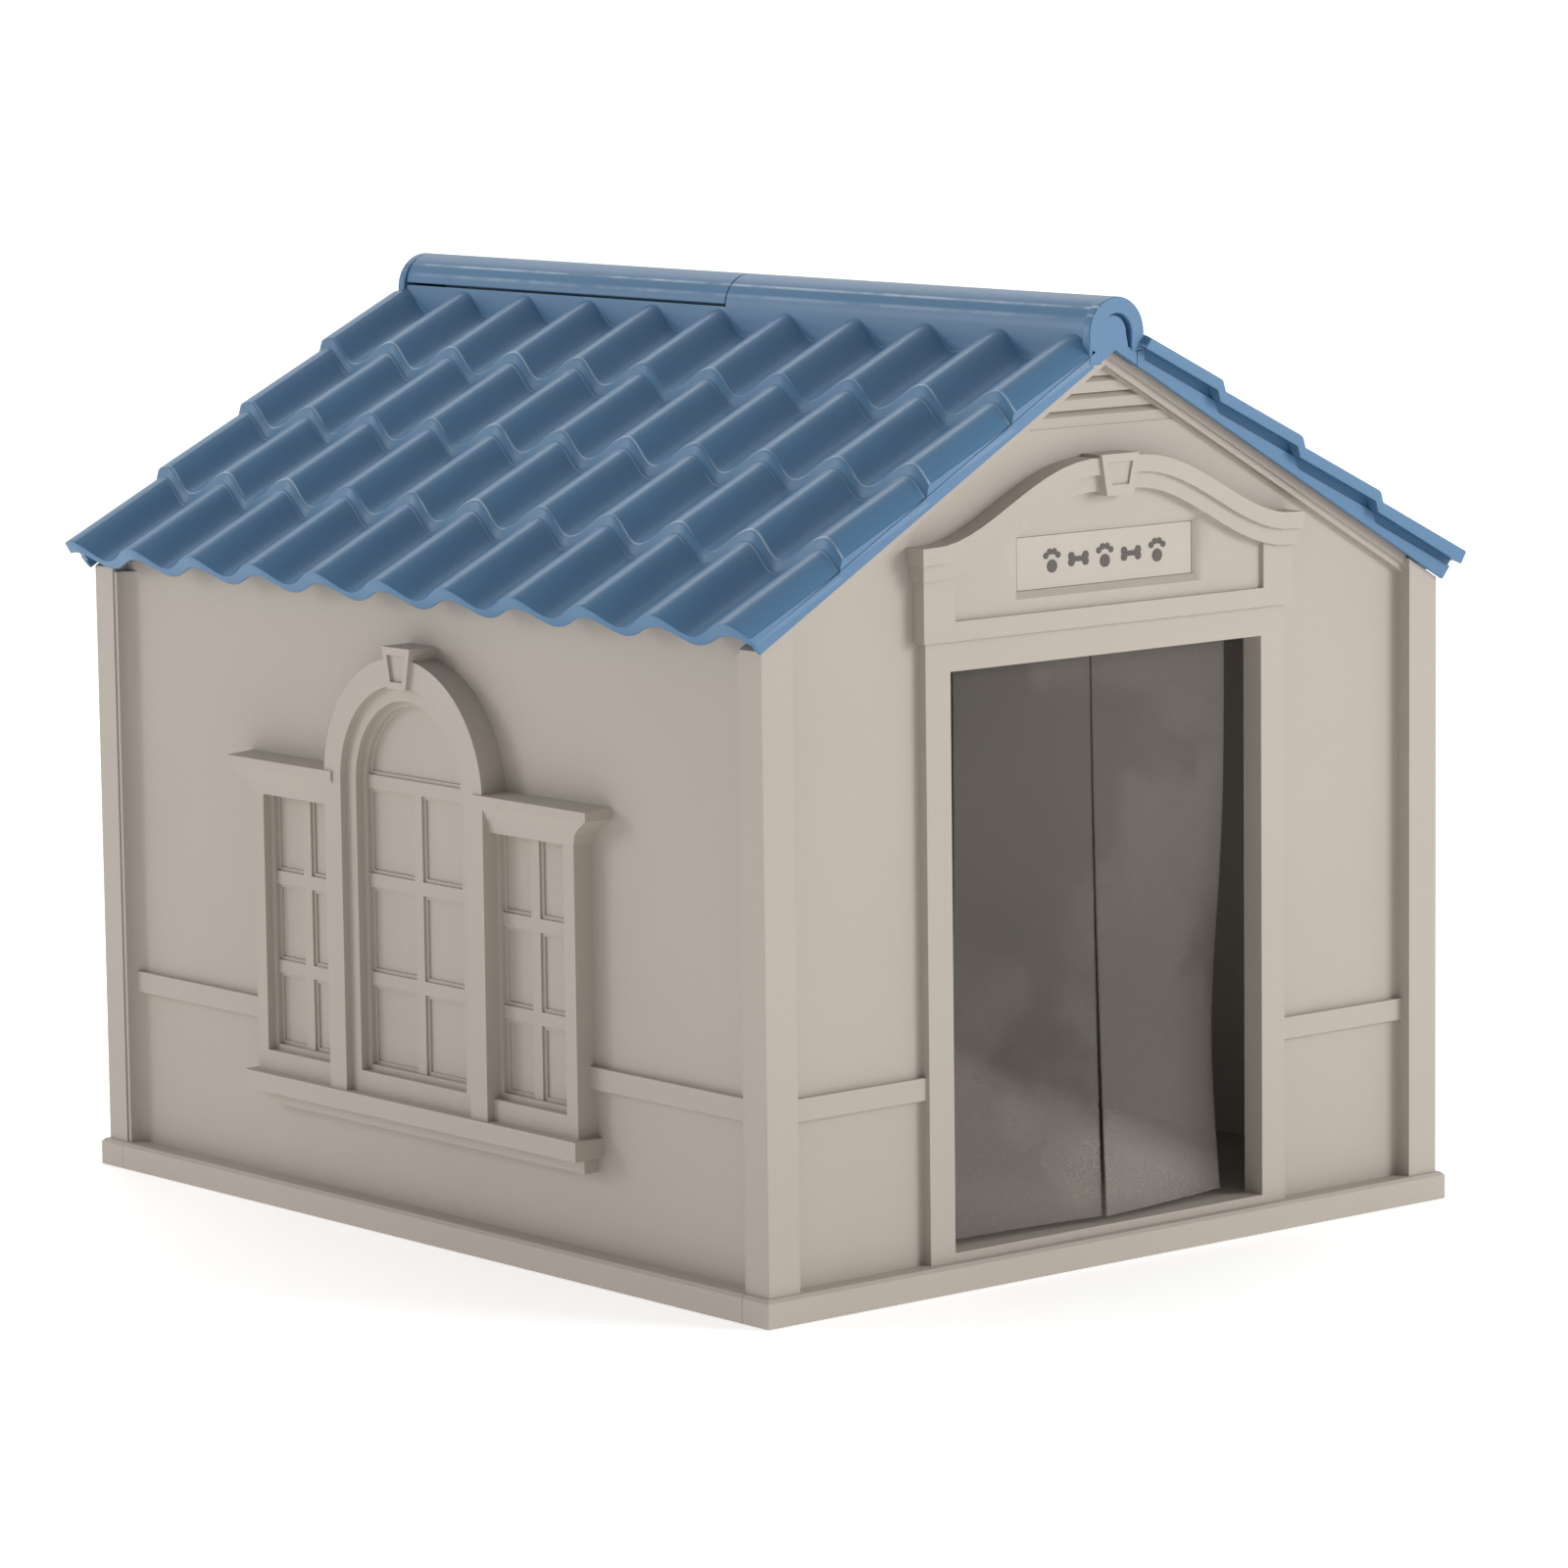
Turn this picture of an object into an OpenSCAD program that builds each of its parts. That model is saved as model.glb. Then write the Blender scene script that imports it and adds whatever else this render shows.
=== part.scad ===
// Moulded dog kennel with a tiled gable roof, an arched window relief on each
// side and two hanging door flaps.
// Frame: origin on the ground at the centre, +X to the right seen from the
// front, +Y to the back, +Z up. The door is in the -Y wall.

/* [Body] */
// Width across the corner posts
body_w = 770.8; // [740:0.4:800]
// Depth across the corner posts
body_d = 949.4; // [920:0.2:980]
// Height of the gable apex, where the roof's boards end
apex_h = 776; // [760:1:790]
// How far the skirt stands out from the posts
skirt_out = 6; // [3:0.5:9]
// Height of the skirt
skirt_h = 24; // [18:1:30]
// Thickness of a wall through its corner posts
post_t = 27.7; // [24:0.1:32]
// Thickness of a wall through its flat field
field_t = 13; // [10:0.5:16]
// Width of a corner post
post_w = 33.4; // [26:0.2:40]
// Height of the chair rail's middle
rail_z = 173.5; // [150:0.5:200]
// Height of the chair rail moulding
rail_h = 19; // [12:1:26]

/* [Doorway] */
// Clear width of the doorway
door_w = 355; // [320:1:370]
// Top of the threshold
door_z0 = 31; // [28:1:36]
// Underside of the door head
door_z1 = 520; // [480:1:524]
// Width of the flat door casing
casing_w = 27.5; // [20:0.5:30]
// Thickness of the vinyl flaps
flap_t = 1.5; // [1:0.1:2.5]
// Width of one vinyl flap
flap_w = 154.5; // [140:0.5:160]

/* [Door header] */
// Half width of the header below its cornice
header_hw = 210.5; // [206:0.5:220]
// Underside of the header
header_z0 = 545.6; // [545.2:0.2:550]
// Height of the ogee line at its ends
ogee_z0 = 611; // [605:1:618]
// Rise of the ogee line to its crown
ogee_rise = 62; // [56:1:78]

/* [Window relief] */
// Radius of the arched band, outside
arch_r = 113.5; // [105:0.5:118]
// Height of the arch's centre
arch_z = 397; // [385:1:402]
// Half width of the window with its wings
wing_hw = 230; // [220:1:240]
// Bottom of the glazing
pane_z0 = 141; // [135:1:150]

/* [Roof] */
// Pitch of the roof in degrees
pitch = 29.8; // [29:0.1:30.5]
// Half width from the ridge line to the eave tip
eave_x = 411; // [405:1:415]
// Half depth from the middle to the open tile edge
tile_y = 489; // [486:0.5:492]
// Level run of one row of tiles
row_run = 94; // [90:1:96]
// Level run of the lowest row
eave_run = 106; // [100:1:110]
// Drop at each row's lower edge
row_step = 8.5; // [6:0.5:9]
// Length of one wave of the tiles
wave_len = 93.3; // [90:0.1:95]
// Height of the waves
wave_h = 23; // [16:1:24]
// Upright thickness of the tile shell
shell_t = 12; // [11:0.5:13]
// Outer radius of the ridge cap
cap_r = 28; // [26:0.5:30]
// Overall height
top_z = 821; // [818:1:824]

/* [Hidden] */
$fn = 64;

taupe = "#c0b6ab";
roof_blue = "#557a9f";
gap = 0.3;
eps = 1;
far = 1200;

// walls
post_x = body_w / 2;
post_y = body_d / 2;
skirt_x = post_x + skirt_out;
skirt_y = post_y + skirt_out;
skirt_bevel = 3;
inner_y = post_y - post_t;
field_y = inner_y + field_t;
side_in = post_x - post_t - 1.7;
side_field = side_in + field_t;
side_y = inner_y - gap;
side_top = 560;
rise = tan(pitch);
lip_up = 7;
trim_t = 9.5;
trim_drop = 13;
trim_step = 6.5;
casing_t = 9;
rail_t = 6;
tongue_t = 9;
tongue_len = 9;
tongue_x = side_in + field_t / 2;
cove_r = 14;
edge_strip = 4;
strip_x = post_x - 1.4;
scallop_gap = 1.5;

// ledge under the floor, corner flanges and their screws
ledge_w = 16;
floor_z0 = 24;
floor_z1 = 30;
rim_t = 5;
rib_t = 4;
rib_gap = 86;
end_screw_x = [-200, 200];
flange_w = 26;
flange_t = 6;
flange_z0 = 60;
flange_z1 = 500;
screw_r = 2.1;
hole_r = 2.3;
head_r = 4.5;
head_h = 2.6;
corner_screw_z = [120, 280, 440];
floor_screw_y = [-300, -100, 100, 300];

// gable vent
vent_z = 712.5;
slat_gap = 13.8;
slat_n = 4;
vent_side = 15;

// header
cornice_out = 7;
cornice_t = 22;
cyma_t = 18;
frieze_t = 14;
tympanum_t = 10;
band_up = 14.5;
band_down = 14;
ogee_x0 = 24;
ogee_x1 = 206;
ogee_n = 14;
recess_x = 176;
recess_z = 562;
plate_x = 100;
plate_z0 = 580;
plate_z1 = 625;
plate_t = 1.6;
plate_back = 3;
plate_slope = 6;
key_z0 = 655;
key_z1 = 690;
header_hole_z = 571;
header_screw_x = 193;

// flaps, clamped above the door head and free to swing below it
flap_y = inner_y - 0.4 - flap_t;
flap_axis_z = door_z1 - 1;
flap_z0 = 36;
flap_split = 0.5;
hinge_gap = 0.2;
hem_top = 548;
batten_t = 4;
batten_z0 = 526;
batten_z1 = 549;
rivet_z = 537;
rivet_x = [22, 80, 138];
rivet_depth = 8;

// window relief, measured outwards from the side wall's field
pane_t = 5.5;
bar_t = 9.5;
sash_t = 12;
frame_t = 19.5;
arch_t = 26;
key_t = 30;
cornice_win_t = 28;
band_w = 24;
pane_r = 75.5;
bar_w = 12;
sash_w = 5;
bed_t = 7.3;
bed_w = 3;
wing_pane_y = 215;
sill_z0 = 105;
sill_z1 = 122;
cornice_z0 = 372;
cornice_z1 = 403;

// roof
crest_z = 814;
crest_y = 474;
wave_fall = 34;
wave_div = 8;
row_x = [20, eave_x - eave_run - 2 * row_run, eave_x - eave_run - row_run,
    eave_x - eave_run, eave_x];
board_y0 = post_y + 0.5;
barge_y = 481;
fascia_y = 479;
barge_drop = 15.5;
fascia_drop = 21;
eave_lean = 0.85;
ring_r = 31;
ring_in = 17;
ring_z = top_z - ring_r;
ring_y0 = 471.5;
near_leg_z = 765;
far_leg_z = 775;
foot_x = 24.5;
foot_z = 775.5;
cap_t = 3.5;
cap_z = top_z - cap_r;
cap_edge_z = 795;
upstand_z0 = 758;
upstand_end_z0 = 777;
upstand_gap = 1.5;
web_t = 6;
web_y = 440;
bolt_y = [-3 * wave_len, -wave_len, wave_len, 3 * wave_len];
bolt_z = 775;
bolt_r = 2.9;
bolt_hole_r = 3.1;

function gable_z(x) = apex_h - abs(x) * rise;

// ---- helpers ----

// a flat outline (x, z) as a slab from y0 to y1
module slab_y(y0, y1) {
    translate([0, y1, 0]) rotate([90, 0, 0]) linear_extrude(y1 - y0) children();
}

// a flat outline (y, z) as a slab from x0 to x1
module slab_x(x0, x1) {
    translate([x0, 0, 0]) rotate([90, 0, 90]) linear_extrude(x1 - x0) children();
}

module box(a, b) {
    translate(a) cube(b - a);
}

module rect(a, b) {
    translate(a) square(b - a);
}

module both_sides() {
    children();
    mirror([1, 0, 0]) children();
}

// a round bar along Y from y0 to y1
module bar_y(x, z, y0, y1, r) {
    translate([x, y0, z]) rotate([-90, 0, 0]) cylinder(h = y1 - y0, r = r, $fn = 24);
}

// a pan head screw along Y: the head's seat at y, the point towards -Y
module screw_front(x, z, y, len) {
    bar_y(x, z, y - len, y, screw_r);
    bar_y(x, z, y, y + head_h, head_r);
}

// ---- gable walls ----

// outline of a gable wall, its sloping top raised by up
module gable_outline(half_w, up) {
    polygon([[-half_w, 0], [half_w, 0], [half_w, gable_z(half_w) + up],
        [0, apex_h + up], [-half_w, gable_z(half_w) + up]]);
}

// a band that follows the gable's slope, from a down to b below its line
module rake_band(half_w, a, b) {
    polygon([[-half_w, gable_z(half_w) - b], [0, apex_h - b], [half_w, gable_z(half_w) - b],
        [half_w, gable_z(half_w) - a], [0, apex_h - a], [-half_w, gable_z(half_w) - a]]);
}

// the skirt round a gable wall, bevelled along its outer top edge
module gable_skirt() {
    intersection() {
        slab_x(-skirt_x, skirt_x)
            polygon([[-skirt_y, 0], [-inner_y, 0], [-inner_y, skirt_h],
                [-skirt_y + skirt_bevel, skirt_h], [-skirt_y, skirt_h - skirt_bevel]]);
        slab_y(-skirt_y, -inner_y)
            polygon([[-skirt_x, 0], [skirt_x, 0], [skirt_x, skirt_h - skirt_bevel],
                [skirt_x - skirt_bevel, skirt_h], [-skirt_x + skirt_bevel, skirt_h],
                [-skirt_x, skirt_h - skirt_bevel]]);
    }
}

module vent_outline(grow) {
    half = (apex_h - vent_side - vent_z) / rise + grow;
    polygon([[-half, vent_z - grow * rise], [half, vent_z - grow * rise],
        [0, apex_h - vent_side + grow * 0.3]]);
}

// sloping louvres that fill the vent but for a slit under each
module vent_slats() {
    intersection() {
        slab_y(-field_y, -inner_y) vent_outline(1);
        for (i = [0 : slat_n - 1])
            slab_x(-far / 2, far / 2) translate([0, vent_z + i * slat_gap])
                polygon([[-field_y + 1, 0], [-field_y + 1, slat_gap - 5], [-field_y + 3, slat_gap - 2.6],
                    [-inner_y - 4, slat_gap + 1], [-inner_y - 1, slat_gap + 1], [-inner_y - 1, 6],
                    [-field_y + 6, 0]]);
    }
}

module gable_wall(rail_x) {
    difference() {
        union() {
            slab_y(-field_y, -inner_y) gable_outline(post_x, -0.5);
            slab_y(-field_y - trim_t, -field_y + eps) rake_band(post_x - post_w + eps, -lip_up, trim_step);
            slab_y(-field_y - trim_t + 3, -field_y + eps)
                rake_band(post_x - post_w + eps, trim_step - eps, trim_drop);
            both_sides() {
                // corner post, groove for the side wall's tongue
                difference() {
                    slab_y(-post_y, -inner_y)
                        polygon([[post_x - post_w, 0], [post_x, 0], [post_x, gable_z(post_x) - 0.5],
                            [post_x - post_w, gable_z(post_x - post_w) - 0.5]]);
                    box([tongue_x - tongue_t / 2 - gap, -inner_y - tongue_len - gap, skirt_h],
                        [tongue_x + tongue_t / 2 + gap, -inner_y + eps, side_top + eps]);
                }
                slab_y(-field_y - rail_t, -field_y + eps)
                    rect([rail_x, rail_z - rail_h / 2], [post_x - post_w + eps, rail_z + rail_h / 2]);
            }
            gable_skirt();
            // ledge that carries the floor
            box([-side_in + ledge_w + gap, -inner_y - eps, 0],
                [side_in - ledge_w - gap, -inner_y + ledge_w, floor_z0 - gap]);
        }
        slab_y(-field_y - eps, -inner_y + eps) vent_outline(0);
        both_sides() {
            box([tongue_x - tongue_t / 2 - gap, -inner_y - tongue_len - gap, skirt_h],
                [tongue_x + tongue_t / 2 + gap, -inner_y + eps, side_top + eps]);
            for (z = corner_screw_z)
                bar_y(side_in - flange_w / 2, z, -inner_y - 9, -inner_y + eps, hole_r);
            translate([end_screw_x[1], -inner_y + ledge_w / 2, 8])
                cylinder(h = floor_z0, r = hole_r, $fn = 24);
        }
    }
    vent_slats();
}

module front_wall() {
    color(taupe) difference() {
        union() {
            gable_wall(door_w / 2 + casing_w - eps);
            slab_y(-field_y - casing_t, -field_y + eps)
                rect([-door_w / 2 - casing_w, skirt_h - eps], [door_w / 2 + casing_w, header_z0 - 0.6]);
        }
        slab_y(-far / 2, -inner_y + eps) rect([-door_w / 2, door_z0], [door_w / 2, door_z1]);
        // holes for the flaps' rivets and the header's screws
        for (s = [-1, 1]) {
            for (x = rivet_x)
                bar_y(s * x, rivet_z, -inner_y - rivet_depth, -inner_y + eps, 2.6);
            bar_y(s * header_screw_x, header_hole_z, -field_y - eps, -inner_y + eps, hole_r);
        }
    }
}

module back_wall() {
    color(taupe) rotate([0, 0, 180]) gable_wall(-eps);
}

// ---- side walls ----

// the ogee line of the header, its height over x
function ogee(x) = ogee_z0 + ogee_rise
    * (1 + cos(180 * min(1, max(0, (abs(x) - ogee_x0) / (ogee_x1 - ogee_x0))))) / 2;
function ogee_slope(x) = (ogee(x + 0.5) - ogee(x - 0.5));
// a point of the line moved by d square to it
function ogee_at(x, d) = let (m = ogee_slope(x), l = sqrt(1 + m * m)) [x - d * m / l, ogee(x) + d / l];
function ogee_line(hw, d) = [for (i = [-ogee_n : ogee_n])
    abs(i) == ogee_n ? [sign(i) * hw, ogee_z0 + d] : ogee_at(i * ogee_x1 / ogee_n, d)];

module arch_outline(r, z0) {
    translate([0, arch_z]) circle(r = r);
    rect([-r, z0], [r, arch_z]);
}

module wing_outline(y0, y1, z0, z1) {
    for (s = [0, 1]) mirror([s, 0]) rect([y0, z0], [y1, z1]);
}

// the bars across the panes, of width w
module glazing_bars(w) {
    for (z = [222, 309, 396]) rect([-pane_r - eps, z - w / 2], [pane_r + eps, z + w / 2]);
    rect([-w / 2, pane_z0 - eps], [w / 2, 396]);
    for (z = [216, 296]) wing_outline(arch_r - eps, wing_pane_y + eps, z - w / 2, z + w / 2);
    wing_outline(164 - w / 2, 164 + w / 2, pane_z0 - eps, cornice_z0 + eps);
}

// frames of width w round the inside of the panes
module sash_frames(w) {
    difference() {
        arch_outline(pane_r + eps, pane_z0 - eps);
        arch_outline(pane_r - w, pane_z0 + w);
    }
    difference() {
        wing_outline(arch_r - eps, wing_pane_y + eps, pane_z0 - eps, cornice_z0 + eps);
        wing_outline(arch_r + w, wing_pane_y - w, pane_z0 + w, cornice_z0 - 2);
    }
}

// everything of the window that stands out of the wall, drawn on the +X side
module window_relief(x0) {
    back = x0 - eps;
    slab_x(back, x0 + pane_t) {
        arch_outline(arch_r - eps, sill_z0 + eps);
        wing_outline(0, wing_hw - eps, sill_z0 + eps, cornice_z0 + eps);
    }
    // glazing bars, each on a wider, lower bed
    slab_x(back, x0 + bar_t) glazing_bars(bar_w);
    slab_x(back, x0 + bed_t) glazing_bars(bar_w + 2 * bed_w);
    // sash frames, a step lower than the window frame, on a bed of their own
    slab_x(back, x0 + sash_t) sash_frames(sash_w);
    slab_x(back, x0 + bed_t) sash_frames(sash_w + bed_w);
    slab_x(back, x0 + frame_t) {
        difference() {
            arch_outline(arch_r - eps, sill_z1 - eps);
            arch_outline(pane_r, pane_z0);
        }
        difference() {
            wing_outline(arch_r - 2, wing_hw, sill_z1 - eps, cornice_z0 + eps);
            wing_outline(arch_r, wing_pane_y, pane_z0, cornice_z0 - 1);
        }
    }
    // arched band and its legs
    slab_x(back, x0 + arch_t) difference() {
        arch_outline(arch_r, sill_z1 - eps);
        arch_outline(arch_r - band_w, sill_z1 - 2 * eps);
    }
    // keystone
    difference() {
        slab_x(back, x0 + key_t) polygon([[-13, 484], [13, 484], [20, 520], [-20, 520]]);
        slab_x(x0 + key_t - 3, x0 + far) polygon([[-8.5, 490], [8.5, 490], [13, 513], [-13, 513]]);
    }
    // sill with a stepped bed below it
    box([back, -wing_hw - 9, sill_z0], [x0 + 30, wing_hw + 9, sill_z1]);
    box([back, -wing_hw - 2, sill_z0 - 13], [x0 + 15, wing_hw + 2, sill_z0 + eps]);
    // wing cornices, their moulding returned round the ends
    for (s = [0, 1]) mirror([0, s, 0]) intersection() {
        translate([x0, 0, 0]) rotate([90, 0, 0]) mirror([0, 0, 1]) linear_extrude(far / 2)
            polygon([[-eps, cornice_z0], [frame_t, cornice_z0], [frame_t + 2, cornice_z0 + 9],
                [frame_t + 5, cornice_z0 + 15], [frame_t + 7, cornice_z0 + 21],
                [cornice_win_t, cornice_z0 + 23], [cornice_win_t, cornice_z1], [-eps, cornice_z1 + 2]]);
        slab_x(back, x0 + cornice_win_t + eps)
            polygon([[arch_r - band_w / 2, cornice_z0], [wing_hw, cornice_z0],
                [wing_hw + 4, cornice_z0 + 9], [wing_hw + 12, cornice_z0 + 15],
                [wing_hw + 22, cornice_z0 + 21], [wing_hw + 27, cornice_z0 + 23],
                [wing_hw + 27, cornice_z1 + 2], [arch_r - band_w / 2, cornice_z1 + 2]]);
    }
}

// the strip and cove at one upright edge of a side wall, seen from above
function cove(y_end) = concat([[side_field - eps, y_end], [strip_x, y_end]],
    [for (a = [90 : -15 : 0]) [strip_x - (strip_x - side_field) * cos(a),
        y_end - edge_strip - cove_r * (1 - sin(a))]],
    [[side_field - eps, y_end - edge_strip - cove_r]]);

// the wall's top edge, scalloped to fill the waves of the tiles above it; turn is
// -1 where the waves run the other way along Y
module scalloped_top(turn) {
    low = row_z(4, side_field) - shell_t - scallop_gap;
    ys = [for (y = wave_ys) if (abs(y) < side_y - edge_strip) y];
    slab_x(side_in, side_field) polygon(concat([for (y = ys) [turn * y, low - wave(y)]],
        [[turn * ys[len(ys) - 1], side_top - eps], [turn * ys[0], side_top - eps]]));
}

// a side wall drawn on the +X side
module side_wall(turn) {
    difference() {
        union() {
            scalloped_top(turn);
            box([side_in, -side_y, 0], [side_field, side_y, side_top]);
            for (s = [0, 1]) mirror([0, s, 0]) {
                translate([0, 0, skirt_h - eps]) linear_extrude(gable_z(post_x) - skirt_h - 3)
                    polygon(cove(side_y));
                // tongue in the gable wall's groove
                box([tongue_x - tongue_t / 2, side_y - eps, skirt_h + 1],
                    [tongue_x + tongue_t / 2, side_y + gap + tongue_len, side_top - 8]);
                // flange screwed to the gable wall
                box([side_in - flange_w, side_y - flange_t, flange_z0], [side_in + eps, side_y, flange_z1]);
                box([side_field - eps, wing_hw - eps, rail_z - rail_h / 2],
                    [side_field + rail_t, side_y - edge_strip - 2, rail_z + rail_h / 2]);
            }
            slab_y(-side_y, side_y)
                polygon([[side_in, 0], [skirt_x, 0], [skirt_x, skirt_h - skirt_bevel],
                    [skirt_x - skirt_bevel, skirt_h], [side_in, skirt_h]]);
            box([side_in - ledge_w, -side_y, 0], [side_in + eps, side_y, floor_z0 - gap]);
            window_relief(side_field);
        }
        for (z = corner_screw_z)
            bar_y(side_in - flange_w / 2, z, -side_y - eps, side_y + eps, hole_r);
        for (y = floor_screw_y)
            translate([side_in - ledge_w / 2, y, 8]) cylinder(h = floor_z0, r = hole_r, $fn = 24);
    }
}

module left_wall() {
    color(taupe) mirror([1, 0, 0]) side_wall(1);
}

module right_wall() {
    color(taupe) side_wall(-1);
}

// ---- floor ----

module floor_pan() {
    rim_x = side_in - ledge_w - 1;
    rim_y = inner_y - ledge_w - 1;
    color(taupe) difference() {
        union() {
            box([gap - side_in, -side_y, floor_z0], [side_in - gap, side_y, floor_z1]);
            difference() {
                box([-rim_x, -rim_y, 1], [rim_x, rim_y, floor_z0 + eps]);
                box([-rim_x + rim_t, -rim_y + rim_t, 0], [rim_x - rim_t, rim_y - rim_t, floor_z0]);
            }
            for (i = [-3 : 3])
                translate([i * rib_gap, 0, 0])
                    box([-rib_t / 2, -rim_y + 1, 1], [rib_t / 2, rim_y - 1, floor_z0 + eps]);
            for (i = [-4 : 4])
                translate([0, i * rib_gap, 0])
                    box([-rim_x + 1, -rib_t / 2, 1], [rim_x - 1, rib_t / 2, floor_z0 + eps]);
        }
        for (s = [-1, 1]) {
            for (y = floor_screw_y)
                translate([s * (side_in - ledge_w / 2), y, 0]) cylinder(h = far, r = hole_r, $fn = 24);
            for (x = end_screw_x)
                translate([x, s * (inner_y - ledge_w / 2), 0]) cylinder(h = far, r = hole_r, $fn = 24);
        }
    }
}

module floor_screw() {
    translate([0, 0, 10]) cylinder(h = floor_z1 - 10, r = screw_r, $fn = 24);
    translate([0, 0, floor_z1]) cylinder(h = head_h, r = head_r, $fn = 24);
}

module floor_screws() {
    color("silver") for (s = [-1, 1]) {
        for (y = floor_screw_y) translate([s * (side_in - ledge_w / 2), y, 0]) floor_screw();
        for (x = end_screw_x) translate([x, s * (inner_y - ledge_w / 2), 0]) floor_screw();
    }
}

module front_corner_screws() {
    color("silver") for (s = [-1, 1], z = corner_screw_z)
        screw_front(s * (side_in - flange_w / 2), z, -side_y + flange_t, 14);
}

module back_corner_screws() {
    color("silver") rotate([0, 0, 180]) for (s = [-1, 1], z = corner_screw_z)
        screw_front(s * (side_in - flange_w / 2), z, -side_y + flange_t, 14);
}

// ---- door header ----

module header_band(d0, d1, hw) {
    up = ogee_line(hw, d1);
    low = ogee_line(hw, d0);
    polygon(concat(up, [for (i = [len(low) - 1 : -1 : 0]) low[i]]));
}

// the recess for the name plate, its sides sloping in
module plate_recess(back) {
    intersection() {
        translate([0, 0, plate_z0 - far / 2]) linear_extrude(far)
            polygon([[-plate_x, back - plate_back - plate_t], [plate_x, back - plate_back - plate_t],
                [plate_x + plate_slope, back - tympanum_t], [plate_x + plate_slope, back - far],
                [-plate_x - plate_slope, back - far], [-plate_x - plate_slope, back - tympanum_t]]);
        slab_x(-far / 2, far / 2)
            polygon([[back - plate_back - plate_t, plate_z0], [back - plate_back - plate_t, plate_z1],
                [back - tympanum_t, plate_z1 + plate_slope], [back - far, plate_z1 + plate_slope],
                [back - far, plate_z0 - plate_slope], [back - tympanum_t, plate_z0 - plate_slope]]);
    }
    slab_y(back - plate_back - plate_t - eps / 2, back - plate_back)
        rect([-plate_x, plate_z0], [plate_x, plate_z1]);
}

module door_header() {
    back = -field_y;
    color(taupe) difference() {
        union() {
            // frieze, with the tympanum sunk into it
            difference() {
                slab_y(back - frieze_t, back)
                    polygon(concat([[-header_hw, header_z0]],
                        ogee_line(header_hw, -band_down + eps), [[header_hw, header_z0]]));
                slab_y(back - far, back - tympanum_t) intersection() {
                    polygon(concat([[-far / 2, recess_z]], ogee_line(far / 2, -band_down),
                        [[far / 2, recess_z]]));
                    rect([-recess_x, recess_z], [recess_x, far]);
                }
            }
            slab_y(back - cornice_t, back) header_band(0, band_up, header_hw + cornice_out);
            slab_y(back - cyma_t, back) header_band(-band_down, eps, header_hw + cornice_out / 2);
            // keystone
            slab_y(back - cornice_t - 3, back)
                polygon([[-15.5, key_z0], [15.5, key_z0], [21.5, key_z1], [-21.5, key_z1]]);
        }
        plate_recess(back);
        // sunk panel in the keystone
        slab_y(back - far, back - cornice_t - 1)
            polygon([[-9.5, key_z0 + 9], [9.5, key_z0 + 9], [14, key_z1 - 7], [-14, key_z1 - 7]]);
        for (s = [-1, 1]) bar_y(s * header_screw_x, header_hole_z, back - 10, back + eps, hole_r);
    }
}

module header_screws() {
    color("silver") for (s = [-1, 1])
        screw_front(s * header_screw_x, header_hole_z, -inner_y, field_t + 8);
}

module name_plate() {
    color("#b9aea2") slab_y(-field_y - plate_back - plate_t, -field_y - plate_back)
        rect([-plate_x + gap, plate_z0 + gap], [plate_x - gap, plate_z1 - gap]);
}

module paw() {
    translate([0, -4]) circle(r = 5.5, $fn = 32);
    for (a = [-54, -18, 18, 54]) rotate(a) translate([0, 8.5]) circle(r = 2.7, $fn = 24);
}

module bone() {
    square([16, 4.4], center = true);
    for (x = [-8, 8], y = [-2.6, 2.6]) translate([x, y]) circle(r = 3.4, $fn = 24);
}

module name_decals() {
    front = -field_y - plate_back - plate_t;
    color("#4b433d") slab_y(front - 0.5, front) translate([0, (plate_z0 + plate_z1) / 2])
        for (i = [-2 : 2]) translate([i * 30, 0]) if (i % 2 == 0) paw(); else bone();
}

// ---- flaps ----

module flap(s) {
    x0 = s > 0 ? flap_split : -flap_split - flap_w;
    color([0.55, 0.53, 0.5, 0.5]) {
        box([x0, -flap_y - flap_t, flap_z0], [x0 + flap_w, -flap_y, flap_axis_z]);
        // the bend line, a bead that the sheet turns about
        translate([x0, -flap_y - flap_t / 2, flap_axis_z]) rotate([0, 90, 0])
            cylinder(h = flap_w, r = flap_t / 2, $fn = 32);
    }
}

module left_flap() {
    flap(-1);
}

module right_flap() {
    flap(1);
}

module flap_hems() {
    color([0.55, 0.53, 0.5, 0.5]) both_sides() difference() {
        box([flap_split, -flap_y - flap_t, flap_axis_z + flap_t / 2 + hinge_gap],
            [flap_split + flap_w, -flap_y, hem_top]);
        for (x = rivet_x) bar_y(x, rivet_z, -far, 0, 2.6);
    }
}

module flap_batten() {
    color(taupe) difference() {
        box([4, -flap_y, batten_z0], [flap_w + 4, -flap_y + batten_t, batten_z1]);
        for (x = rivet_x) bar_y(x, rivet_z, -far, 0, 2.6);
    }
}

module left_flap_batten() {
    mirror([1, 0, 0]) flap_batten();
}

module right_flap_batten() {
    flap_batten();
}

module flap_rivets() {
    color("#8d8479") for (s = [-1, 1], x = rivet_x) {
        bar_y(s * x, rivet_z, -inner_y - rivet_depth + 1, -flap_y + batten_t, 2.4);
        bar_y(s * x, rivet_z, -flap_y + batten_t, -flap_y + batten_t + 2.5, 6);
    }
}

// ---- roof, drawn as the left panel; the right one is the same turned round ----

// drop of the tile surface below its crest line at y
function wave(y) = let (d = (crest_y - y + 2 * wave_len) % wave_len)
    d < wave_fall ? wave_h * (1 - cos(180 * d / wave_fall)) / 2
        : wave_h * (1 + cos(180 * (d - wave_fall) / (wave_len - wave_fall))) / 2;

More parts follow.
